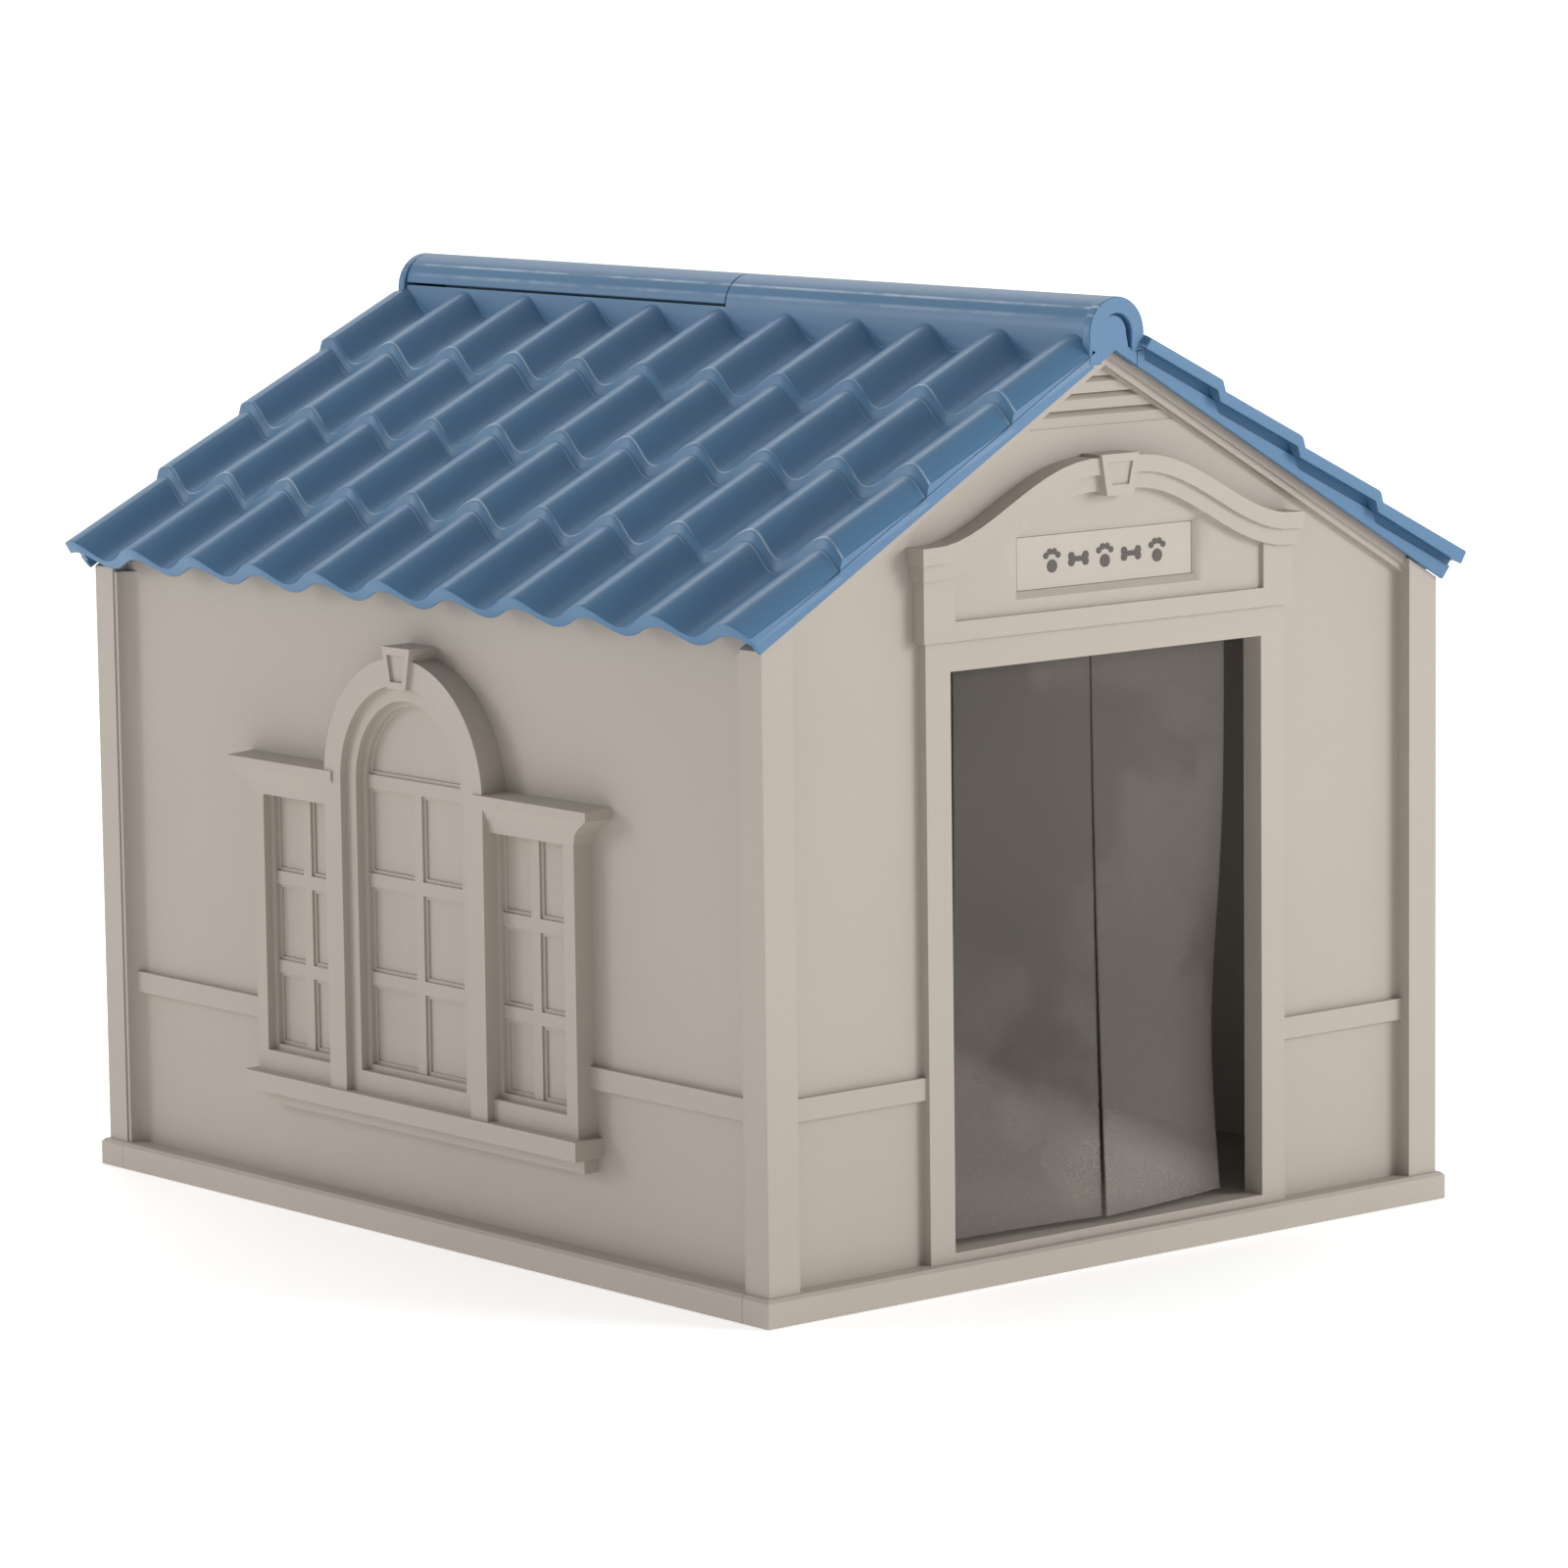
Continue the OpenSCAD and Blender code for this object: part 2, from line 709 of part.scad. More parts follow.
wave_n = floor((crest_y + board_y0) * wave_div / wave_len);
wave_ys = concat([tile_y], [for (i = [0 : wave_n]) crest_y - i * wave_len / wave_div], [-board_y0 - 3]);

// height of row k's crest at x, and its slope
function row_slope(k) = rise - row_step / (row_x[k] - (k == 0 ? 0 : row_x[k - 1]));
function row_z(k, x) = crest_z - row_x[k] * rise + (row_x[k] - x) * row_slope(k);

module tile_row(k) {
    q = atan(row_slope(k));
    x_up = k == 0 ? 0.5 : row_x[k - 1] - 6;
    long = (row_x[k] - x_up) / cos(q);
    intersection() {
        translate([-row_x[k], 0, row_z(k, row_x[k])]) rotate([0, -q, 0]) slab_x(-22, long + 2)
            polygon(concat([for (y = wave_ys) [y, -wave(y) * cos(q)]],
                [for (i = [len(wave_ys) - 1 : -1 : 0])
                    [wave_ys[i], -(wave(wave_ys[i]) + shell_t) * cos(q)]]));
        box([-row_x[k], -far, 0], [-x_up, far, far]);
    }
}

// stepped line of the tiles' top, lowered by d, from the ridge to the eave
function stepped(d, x_end) = [for (k = [0 : 4], e = [0, 1])
    let (x = e == 0 ? (k == 0 ? x_end : row_x[k - 1]) : row_x[k])
    [-x, row_z(k, x) - d]];

module barge_outline(d, x_end) {
    polygon(concat(stepped(d, x_end),
        [[-eave_x + 16, gable_z(eave_x - 16)], [-x_end, gable_z(x_end)]]));
}

// a band that follows the stepped line, from d0 to d1 below it
module stepped_band(d0, d1, x_end) {
    low = stepped(d1, x_end);
    polygon(concat(stepped(d0, x_end), [for (i = [len(low) - 1 : -1 : 0]) low[i]]));
}

module roof_panel() {
    difference() {
        union() {
            for (k = [0 : 4]) tile_row(k);
            // closed end board, and the lower board behind the open tile edge
            slab_y(-barge_y, -board_y0) barge_outline(barge_drop, 17);
            slab_y(board_y0, fascia_y) barge_outline(fascia_drop, 17);
            slab_y(board_y0 - 5, board_y0 + gap) stepped_band(shell_t - 2, fascia_drop + 5, 17);
            // web along the ridge, bolted to the other panel's
            box([-web_t - 0.5, -web_y, 762], [-0.5, web_y, 798]);
            // ridge cap over the front half
            slab_y(-ring_y0 - eps, -gap) {
                difference() {
                    translate([0, cap_z]) circle(r = cap_r);
                    translate([0, cap_z]) circle(r = cap_r - cap_t);
                    rect([-far, 0], [far, cap_z]);
                    rect([0, 0], [far, cap_edge_z]);
                }
            }
            // upright wall under the cap's edge, closing the waves' upper ends
            slab_y(-ring_y0 - eps, ring_y0 - upstand_gap)
                rect([-cap_r, upstand_end_z0], [-cap_r + cap_t, cap_edge_z - upstand_gap]);
            slab_y(-web_y, web_y) rect([-cap_r, upstand_z0], [-cap_r + cap_t, upstand_end_z0 + eps]);
            // round end of the cap with its sunk panel
            slab_y(-barge_y, -ring_y0) difference() {
                union() {
                    translate([0, ring_z]) circle(r = ring_r);
                    rect([ring_in, far_leg_z], [ring_r, ring_z]);
                    rect([-ring_r, near_leg_z], [-ring_in, ring_z]);
                }
                translate([0, ring_z]) circle(r = ring_in);
                rect([-ring_in, 0], [ring_in, ring_z]);
                rect([-far, 0], [far, near_leg_z]);
                rect([ring_in, 0], [far, far_leg_z]);
            }
            slab_y(-board_y0 + 1.5, -ring_y0) {
                translate([0, ring_z]) circle(r = ring_in + eps);
                polygon([[-ring_r, ring_z], [-ring_r, gable_z(ring_r)], [0, apex_h],
                    [foot_x, gable_z(foot_x)], [foot_x, foot_z], [ring_in, ring_z]]);
            }
            // flush plug in the round end, clear of it on one side
            slab_y(-barge_y + 1.5, -ring_y0) {
                translate([-3.5, ring_z]) circle(r = ring_in - 1.5);
                polygon([[-ring_in - 3, ring_z], [-ring_in - 3, gable_z(ring_in + 3)], [0, apex_h],
                    [foot_x, gable_z(foot_x)], [foot_x, foot_z], [14.5, 778], [12, ring_z]]);
            }
        }
        // eave edge, leaning in from the crests
        slab_y(-far / 2, far / 2) translate([-eave_x, row_z(4, eave_x)])
            polygon([[-10 * eave_lean, 10], [60 * eave_lean, -60], [-60, -60], [-60, 10]]);
        // room for the other panel's cap end
        box([-ring_r - 1.2, ring_y0 - 0.6, far_leg_z - 0.7], [eps, far / 2, far]);
        box([-foot_x - 0.8, board_y0 - 2.5, 0], [eps, far / 2, 780]);
        box([-foot_x - 0.8, board_y0 - 5 - eps, 0], [eps, far / 2, foot_z + 0.5]);
        // room for the gable wall's top under the waves
        slab_y(inner_y - gap, field_y + gap) gable_outline(post_x, 0);
        for (y = bolt_y)
            translate([-20, y, bolt_z]) rotate([0, 90, 0]) cylinder(h = 40, r = bolt_hole_r, $fn = 32);
    }
}

module roof_panel_left() {
    color(roof_blue) roof_panel();
}

module roof_panel_right() {
    color(roof_blue) rotate([0, 0, 180]) roof_panel();
}

module ridge_bolts() {
    color("silver") for (y = bolt_y) translate([-web_t - 0.5, y, bolt_z]) rotate([0, 90, 0]) {
        translate([0, 0, -4]) cylinder(h = 4, r = 6, $fn = 6);
        cylinder(h = 20, r = bolt_r, $fn = 32);
    }
}

module ridge_nuts() {
    color("silver") for (y = bolt_y) translate([web_t + 0.5, y, bolt_z]) rotate([0, 90, 0]) difference() {
        cylinder(h = 5, r = 6.4, $fn = 6);
        translate([0, 0, -eps]) cylinder(h = 7, r = bolt_r + 0.05, $fn = 32);
    }
}

floor_pan();
front_wall();
back_wall();
left_wall();
right_wall();
door_header();
header_screws();
name_plate();
name_decals();
left_flap();
right_flap();
flap_hems();
left_flap_batten();
right_flap_batten();
flap_rivets();
front_corner_screws();
back_corner_screws();
floor_screws();
roof_panel_left();
roof_panel_right();
ridge_bolts();
ridge_nuts();
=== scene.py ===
import math

import bmesh
import bpy
from mathutils import Matrix, Vector


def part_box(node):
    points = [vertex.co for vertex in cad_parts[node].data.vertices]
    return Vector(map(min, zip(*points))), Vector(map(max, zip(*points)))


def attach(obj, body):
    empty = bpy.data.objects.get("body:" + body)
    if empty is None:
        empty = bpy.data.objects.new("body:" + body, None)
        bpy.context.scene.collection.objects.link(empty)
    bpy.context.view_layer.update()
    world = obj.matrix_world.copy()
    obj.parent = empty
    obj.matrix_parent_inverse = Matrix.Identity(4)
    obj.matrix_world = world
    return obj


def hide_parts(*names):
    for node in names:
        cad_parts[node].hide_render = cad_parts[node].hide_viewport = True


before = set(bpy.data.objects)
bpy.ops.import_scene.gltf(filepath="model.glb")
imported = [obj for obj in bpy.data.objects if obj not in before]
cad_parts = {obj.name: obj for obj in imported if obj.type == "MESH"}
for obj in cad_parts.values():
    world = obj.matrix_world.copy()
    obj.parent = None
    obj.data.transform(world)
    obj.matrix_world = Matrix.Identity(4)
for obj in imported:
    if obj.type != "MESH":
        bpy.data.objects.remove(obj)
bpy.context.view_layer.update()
mm = 0.001
print("frame loaded")


# ---- small tools ----

def selectOnly(*objects):
    if bpy.context.object and bpy.context.object.mode != "OBJECT":
        bpy.ops.object.mode_set(mode="OBJECT")
    bpy.ops.object.select_all(action="DESELECT")
    for piece in objects:
        piece.select_set(True)
    bpy.context.view_layer.objects.active = objects[0]


def addModifier(piece, kind, **settings):
    selectOnly(piece)
    modifier = piece.modifiers.new(kind.title(), kind)
    for name, value in settings.items():
        setattr(modifier, name, value)
    bpy.ops.object.modifier_apply(modifier=modifier.name)


def smoothPiece(piece, angle=50):
    selectOnly(piece)
    bpy.ops.object.shade_smooth_by_angle(angle=math.radians(angle))
    addModifier(piece, "WEIGHTED_NORMAL", mode="FACE_AREA", weight=50, keep_sharp=True)


def closeShell(piece):
    # merges doubles and turns every face outwards
    selectOnly(piece)
    bpy.ops.object.mode_set(mode="EDIT")
    bpy.ops.mesh.select_all(action="SELECT")
    bpy.ops.mesh.remove_doubles(threshold=0.001 * mm)
    bpy.ops.mesh.normals_make_consistent(inside=False)
    bpy.ops.object.mode_set(mode="OBJECT")


def joinPieces(name, pieces):
    selectOnly(*pieces)
    bpy.ops.object.join()
    joined = bpy.context.object
    joined.name = name
    joined.data.name = name
    return joined


def finishPiece(piece, material, body, slotName, *nodes):
    piece.data.materials.clear()
    piece.data.materials.append(material)
    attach(piece, body)
    if nodes:
        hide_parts(*nodes)


# ---- materials ----

def linearColour(hexCode):
    parts = [int(hexCode[i:i + 2], 16) / 255 for i in (1, 3, 5)]
    return [c / 12.92 if c <= 0.04045 else ((c + 0.055) / 1.055) ** 2.4 for c in parts] + [1.0]


def addNode(tree, kind, settings=None, links=None):
    # lower-case settings are the node's own, the others are its inputs by name or number
    node = tree.nodes.new(kind)
    for name, value in (settings or {}).items():
        if str(name)[0].islower():
            setattr(node, name, value)
        else:
            node.inputs[name].default_value = value
    for name, socket in (links or {}).items():
        tree.links.new(socket, node.inputs[name])
    return node


def newMaterial(name):
    material = bpy.data.materials.new(name)
    material.use_nodes = True
    tree = material.node_tree
    return material, tree, tree.nodes["Principled BSDF"]


def setInputs(shader, settings):
    for name, value in settings.items():
        shader.inputs[name].default_value = value


def mapRange(tree, value, source, target, curve="LINEAR"):
    settings = {"interpolation_type": curve, "From Min": source[0], "From Max": source[1],
                "To Min": target[0], "To Max": target[1]}
    return addNode(tree, "ShaderNodeMapRange", settings, {"Value": value}).outputs["Result"]


def noiseColour(tree, vector, scale, detail, hexes, low=0.3, high=0.7, mapping=None):
    # soft change between two close colours
    if mapping:
        vector = addNode(tree, "ShaderNodeMapping", {"Scale": mapping}, {"Vector": vector}).outputs["Vector"]
    noise = addNode(tree, "ShaderNodeTexNoise", {"Scale": scale, "Detail": detail}, {"Vector": vector})
    ramp = addNode(tree, "ShaderNodeValToRGB", links={"Fac": noise.outputs["Fac"]})
    elements = ramp.color_ramp.elements
    elements[0].position = low
    elements[1].position = high
    elements[0].color = linearColour(hexes[0])
    elements[1].color = linearColour(hexes[1])
    return ramp.outputs["Color"]


def times(tree, first, second):
    return addNode(tree, "ShaderNodeMath", {"operation": "MULTIPLY"}, {0: first, 1: second}).outputs["Value"]


def rowLines(tree, place, colour, rows):
    # painted highlight lines along the raised edges of the tile rows, standing in for light caught on the
    # rounded edges, broken up here and there by noise
    across = addNode(tree, "ShaderNodeSeparateXYZ", links={"Vector": place}).outputs["X"]
    out = addNode(tree, "ShaderNodeMath", {"operation": "ABSOLUTE"}, {0: across}).outputs["Value"]
    highlightBreakup = addNode(tree, "ShaderNodeTexNoise", {"Scale": 22, "Detail": 3}, {"Vector": place})
    highlightPatches = mapRange(tree, highlightBreakup.outputs["Fac"], (0.4, 0.62), (0.15, 1))
    normal = addNode(tree, "ShaderNodeTexCoord").outputs["Normal"]
    tilt = addNode(tree, "ShaderNodeSeparateXYZ", links={"Vector": normal}).outputs["Z"]
    # the painted highlight is kept to faces turned up
    facing = mapRange(tree, tilt, (0.2, 0.4), (0, 1))
    inside = addNode(tree, "ShaderNodeMath", {"operation": "LESS_THAN", 1: rows["end"]}, {0: out})
    for shift, width, strength in rows["lines"]:
        edge = rows["last"] + shift * mm
        moved = addNode(tree, "ShaderNodeMath", {"operation": "SUBTRACT", 1: edge}, {0: out})
        near = addNode(tree, "ShaderNodeMath", {"operation": "PINGPONG", 1: rows["run"] / 2},
                       {0: moved.outputs["Value"]})
        factor = mapRange(tree, near.outputs["Value"], (0, width * mm), (strength, 0))
        for part in (highlightPatches, facing, inside.outputs["Value"]):
            factor = times(tree, factor, part)
        mix = addNode(tree, "ShaderNodeMix", {"data_type": "RGBA", 7: linearColour(rows["colour"])},
                      {0: factor, 6: colour})
        colour = mix.outputs[2]
    return colour


def mouldedResin(name, settings):
    # blow-moulded polyethylene: even colour, a fine sand grain from the tool and a soft satin light
    material, tree, shader = newMaterial(name)
    place = addNode(tree, "ShaderNodeTexCoord").outputs["Object"]
    broad = noiseColour(tree, place, settings["broadScale"], 3, settings["colours"])
    # the roof's tile rows get painted highlight lines
    if "rows" in settings:
        broad = rowLines(tree, place, broad, settings["rows"])
    noise = addNode(tree, "ShaderNodeTexNoise", {"Scale": settings["grainScale"], "Detail": 2},
                    {"Vector": place})
    grain = noise.outputs["Fac"]
    speck = mapRange(tree, grain, (0.3, 0.7), (1 - settings["speck"], 1 + settings["speck"]))
    mixed = addNode(tree, "ShaderNodeVectorMath", {"operation": "MULTIPLY"}, {0: broad, 1: speck})
    tree.links.new(mixed.outputs["Vector"], shader.inputs["Base Color"])
    tree.links.new(mapRange(tree, grain, (0, 1), settings["roughness"]), shader.inputs["Roughness"])
    bump = addNode(tree, "ShaderNodeBump", {"Strength": settings["bump"], "Distance": 0.2 * mm},
                   {"Height": grain})
    tree.links.new(bump.outputs["Normal"], shader.inputs["Normal"])
    setInputs(shader, {"IOR": 1.5, "Specular IOR Level": settings["specular"]})
    return material


# the tile rows in mm: the last row's length, and the length of the others
rowSizes = {"eaveRun": 106, "rowRun": 94, "beyond": 20}
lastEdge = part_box("roof_panel_right")[1].x - rowSizes["eaveRun"] * mm

# grain of about 1 mm, coarser than the real sand-blasted tool so that it shows
wallResin = mouldedResin("taupeMouldedResin", {
    "colours": ["#aba298", "#b0a79d"], "broadScale": 2.5, "grainScale": 700, "speck": 0.025,
    "roughness": (0.5, 0.68), "bump": 0.35, "specular": 0.4})
plateResin = mouldedResin("smoothPlateResin", {
    "colours": ["#aea59b", "#b3aaa0"], "broadScale": 6, "grainScale": 1500, "speck": 0.01,
    "roughness": (0.4, 0.5), "bump": 0.1, "specular": 0.45})
floorResin = mouldedResin("taupeFloorResin", {
    "colours": ["#a89e93", "#b0a69b"], "broadScale": 4, "grainScale": 500, "speck": 0.03,
    "roughness": (0.55, 0.75), "bump": 0.5, "specular": 0.35})
rivetResin = mouldedResin("greyRivetResin", {
    "colours": ["#8a8177", "#91887d"], "broadScale": 20, "grainScale": 1500, "speck": 0.01,
    "roughness": (0.4, 0.5), "bump": 0.1, "specular": 0.5})
roofResin = mouldedResin("slateBlueMouldedResin", {
    "colours": ["#4a7295", "#4f789b"], "broadScale": 3, "grainScale": 900, "speck": 0.02,
    "roughness": (0.34, 0.44), "bump": 0.1, "specular": 0.4,
    # painted highlight lines along the edges of the tile rows
    "rows": {"last": lastEdge, "run": rowSizes["rowRun"] * mm, "end": lastEdge + rowSizes["beyond"] * mm,
             # place past the row's edge, width, strength
             "colour": "#c3d2df", "lines": [(-2.6, 1.3, 0.75), (3.2, 1.0, 0.45)]}})
decalVinyl = mouldedResin("darkPrintedVinyl", {
    "colours": ["#423a34", "#4a423b"], "broadScale": 40, "grainScale": 1500, "speck": 0.03,
    "roughness": (0.4, 0.5), "bump": 0.1, "specular": 0.5})


def clearVinyl(name):
    # calendered PVC sheet: see-through and cloudy with handling, made more opaque and so paler along the
    # bottom as painted light of the floor seen through it
    material, tree, shader = newMaterial(name)
    place = addNode(tree, "ShaderNodeTexCoord").outputs["Object"]
    tree.links.new(noiseColour(tree, place, 4, 2, ["#877f77", "#978f87"]), shader.inputs["Base Color"])
    patches = addNode(tree, "ShaderNodeTexNoise", {"Scale": 5.5, "Detail": 3, "Roughness": 0.6},
                      {"Vector": place})
    cloud = mapRange(tree, patches.outputs["Fac"], (0.47, 0.55), (0.16, 0.21))
    slope = addNode(tree, "ShaderNodeVectorMath", {"operation": "DOT_PRODUCT", 1: (0.44, 0, 1)}, {0: place})
    # below a slanting line the sheet is made more opaque: painted light of the floor seen through it
    paintedFloorLight = mapRange(tree, slope.outputs["Value"], (0.1, 0.135), (2.3, 1))
    grain = addNode(tree, "ShaderNodeTexNoise", {"Scale": 750, "Detail": 1}, {"Vector": place})
    speck = mapRange(tree, grain.outputs["Fac"], (0.3, 0.7), (0.7, 1.3))
    tree.links.new(times(tree, times(tree, cloud, paintedFloorLight), speck), shader.inputs["Alpha"])
    ripple = addNode(tree, "ShaderNodeTexNoise", {"Scale": 5, "Detail": 1}, {"Vector": place})
    bump = addNode(tree, "ShaderNodeBump", {"Strength": 0.08, "Distance": 2 * mm},
                   {"Height": ripple.outputs["Fac"]})
    tree.links.new(bump.outputs["Normal"], shader.inputs["Normal"])
    setInputs(shader, {"Roughness": 0.3, "IOR": 1.53, "Specular IOR Level": 0.4})
    return material


def zincSteel(name):
    # zinc-plated screw steel: pale grey with a faint blotchy spangle
    material, tree, shader = newMaterial(name)
    place = addNode(tree, "ShaderNodeTexCoord").outputs["Object"]
    tree.links.new(noiseColour(tree, place, 300, 2, ["#a9acae", "#c3c6c8"]), shader.inputs["Base Color"])
    setInputs(shader, {"Metallic": 1.0, "Roughness": 0.35})
    return material


vinyl = clearVinyl("smokyClearVinyl")
zinc = zincSteel("zincPlatedSteel")
print("materials made")


# ---- camera and light ----

cameraSettings = {"yaw": -39.858, "pitch": 7.972, "roll": 0.714, "place": (-3.77415, -4.56066, 1.19118),
                  "lens": 152.7, "sensor": 36}


def makeCamera(settings):
    yaw, pitch, roll = (math.radians(settings[k]) for k in ("yaw", "pitch", "roll"))
    back = Vector((math.sin(yaw) * math.cos(pitch), -math.cos(yaw) * math.cos(pitch), math.sin(pitch)))
    right = Vector((math.cos(yaw), math.sin(yaw), 0))
    up = back.cross(right)
    axes = (right * math.cos(roll) - up * math.sin(roll), right * math.sin(roll) + up * math.cos(roll), back)
    camera = bpy.data.objects.new("camera", bpy.data.cameras.new("camera"))
    bpy.context.scene.collection.objects.link(camera)
    turn = Matrix(axes).transposed().to_4x4()
    camera.matrix_world = Matrix.Translation(settings["place"]) @ turn
    camera.data.lens = settings["lens"]
    camera.data.sensor_width = settings["sensor"]
    camera.data.clip_end = 100
    bpy.context.scene.camera = camera


lightSettings = {
    # the surround is bright behind the piece and dim behind the camera
    "sky": (0.36, 1.1), "forward": (0.6347, 0.7602, 0), "aim": (0, 0, 0.4),
    "lamps": [
        {"name": "frontBox", "place": (3.6, -5.4, 2.2), "size": (2.6, 2.6), "power": 200},
        {"name": "ridgeBox", "place": (1.3, 2.3, 2.9), "size": (2.6, 0.5), "power": 12},
        {"name": "sideBox", "place": (-2.9, 2.5, 1.35), "size": (1.0, 1.4), "power": 30},
    ],
}


def makeLights(settings):
    world = bpy.data.worlds.new("paleStudio")
    bpy.context.scene.world = world
    world.use_nodes = True
    tree = world.node_tree
    place = addNode(tree, "ShaderNodeTexCoord").outputs["Generated"]
    ahead = addNode(tree, "ShaderNodeVectorMath", {"operation": "DOT_PRODUCT", 1: settings["forward"]},
                    {0: place})
    glow = mapRange(tree, ahead.outputs["Value"], (-0.5, 0.6), settings["sky"], "SMOOTHSTEP")
    tree.links.new(glow, tree.nodes["Background"].inputs["Strength"])
    tree.nodes["Background"].inputs["Color"].default_value = (1, 1, 1, 1)
    aim = Vector(settings["aim"])
    for lamp in settings["lamps"]:
        data = bpy.data.lights.new(lamp["name"], "AREA")
        data.shape = "RECTANGLE"
        data.size, data.size_y = lamp["size"]
        data.energy = lamp["power"]
        light = bpy.data.objects.new(lamp["name"], data)
        bpy.context.scene.collection.objects.link(light)
        light.location = lamp["place"]
        light.rotation_mode = "QUATERNION"
        light.rotation_quaternion = (aim - light.location).to_track_quat("-Z", "Y")


stageSettings = {"size": 400, "below": 0.5, "glow": (0.42, 0.5), "glowFrom": (1.0, 5.0)}


def makeStage(settings):
    bpy.ops.mesh.primitive_plane_add(size=settings["size"], location=(0, 0, -settings["below"] * mm))
    ground = bpy.context.object
    ground.name = "paleFloor"
    material, tree, shader = newMaterial("palePaintedFloor")
    place = addNode(tree, "ShaderNodeTexCoord").outputs["Object"]
    tree.links.new(noiseColour(tree, place, 1.5, 2, ["#f6f6f6", "#fafafa"]), shader.inputs["Base Color"])
    # lit a little from below, more so away from the piece
    away = addNode(tree, "ShaderNodeVectorMath", {"operation": "LENGTH"}, {"Vector": place})
    lit = mapRange(tree, away.outputs["Value"], settings["glowFrom"], settings["glow"])
    tree.links.new(lit, shader.inputs["Emission Strength"])
    setInputs(shader, {"Roughness": 0.9, "Specular IOR Level": 0.1, "Emission Color": linearColour("#ffffff")})
    ground.data.materials.append(material)


makeCamera(cameraSettings)
makeLights(lightSettings)
makeStage(stageSettings)
bpy.context.scene.view_settings.view_transform = "Standard"
print("camera, lights and floor made")


# ---- mouldings with their edges rounded ----

# lengths in mm, angles in degrees
edgeSettings = {"merge": 0.01, "flat": 1, "sharp": 22, "shortest": 1.2, "segments": 3, "sameFlat": 0.99999}

mouldings = [
    # name, node, edge radius in mm, material, slot
    ("frontWallMoulding", "front_wall", 1.6, wallResin, "wall_resin"),
    ("backWallMoulding", "back_wall", 1.6, wallResin, "wall_resin"),
    ("leftWallMoulding", "left_wall", 1.5, wallResin, "wall_resin"),
    ("rightWallMoulding", "right_wall", 1.5, wallResin, "wall_resin"),
    ("floorMoulding", "floor_pan", 0.8, floorResin, "floor_resin"),
    ("headerMoulding", "door_header", 1.3, wallResin, "wall_resin"),
    ("plateMoulding", "name_plate", 0.5, plateResin, "plate_resin"),
    ("leftBattenMoulding", "left_flap_batten", 0.6, wallResin, "wall_resin"),
    ("rightBattenMoulding", "right_flap_batten", 0.6, wallResin, "wall_resin"),
]


def markEdges(piece):
    # an edge is rounded if it is sharp and stands clear of screw holes
    shape = bmesh.new()
    shape.from_mesh(piece.data)
    weight = shape.edges.layers.float.new("bevel_weight_edge")
    limit = math.radians(edgeSettings["sharp"])
    sharp = [e for e in shape.edges if e.is_manifold and e.calc_face_angle() > limit]
    fine = {v for e in sharp if e.calc_length() < edgeSettings["shortest"] * mm for v in e.verts}
    for edge in sharp:
        if not fine.intersection(edge.verts):
            edge[weight] = 1
    shape.to_mesh(piece.data)
    shape.free()


def refillFlats(piece):
    # the flat faces between the rounded edges are laid again, round their holes
    shape = bmesh.new()
    shape.from_mesh(piece.data)
    for face in shape.faces:
        face.tag = face.material_index > 0
    groups = []
    for start in shape.faces:
        if not start.tag:
            start.tag = True
            group = [start]
            for face in group:
                for near in [n for e in face.edges for n in e.link_faces if not n.tag]:
                    if not near.tag and near.normal.dot(start.normal) > edgeSettings["sameFlat"]:
                        near.tag = True
                        group.append(near)
            if len(group) > 1 or len(start.verts) > 4:
                groups.append(group)
    for group in groups:
        inside = set(group)
        normal = group[0].normal.copy()
        edges = list(dict.fromkeys(e for f in group for e in f.edges))
        shared = [all(f in inside for f in e.link_faces) for e in edges]
        bmesh.ops.delete(shape, geom=group, context="FACES_ONLY")
        rim = [e for e, within in zip(edges, shared) if not within]
        bmesh.ops.delete(shape, geom=[e for e, within in zip(edges, shared) if within], context="EDGES")
        bmesh.ops.triangle_fill(shape, use_beauty=True, edges=rim, normal=normal)
    for face in shape.faces:
        face.material_index = 0
    shape.to_mesh(piece.data)
    shape.free()
    closeShell(piece)


def roundedMoulding(name, node, radius):
    piece = bpy.data.objects.new(name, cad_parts[node].data.copy())
    bpy.context.scene.collection.objects.link(piece)
    selectOnly(piece)
    bpy.ops.mesh.customdata_custom_splitnormals_clear()
    bpy.ops.object.mode_set(mode="EDIT")
    bpy.ops.mesh.select_all(action="SELECT")
    bpy.ops.mesh.remove_doubles(threshold=edgeSettings["merge"] * mm)
    bpy.ops.mesh.dissolve_limited(angle_limit=math.radians(edgeSettings["flat"]))
    bpy.ops.object.mode_set(mode="OBJECT")
    markEdges(piece)
    # the rounded strips are told apart by a second, empty slot
    piece.data.materials.append(None)
    addModifier(piece, "BEVEL", width=radius * mm, segments=edgeSettings["segments"], limit_method="WEIGHT",
                use_clamp_overlap=True, miter_outer="MITER_ARC", material=1)
    refillFlats(piece)
    smoothPiece(piece)
    return piece


for name, node, radius, material, slotName in mouldings:
    finishPiece(roundedMoulding(name, node, radius), material, "house", slotName, node)
print("mouldings rounded")


def paintNode(node, material):
    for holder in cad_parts[node].material_slots:
        holder.material = material


for node in ("header_screws", "front_corner_screws", "back_corner_screws", "floor_screws", "ridge_bolts",
             "ridge_nuts"):
    paintNode(node, zinc)
paintNode("flap_rivets", rivetResin)
paintNode("name_decals", decalVinyl)
paintNode("flap_hems", vinyl)


# ---- roof ----

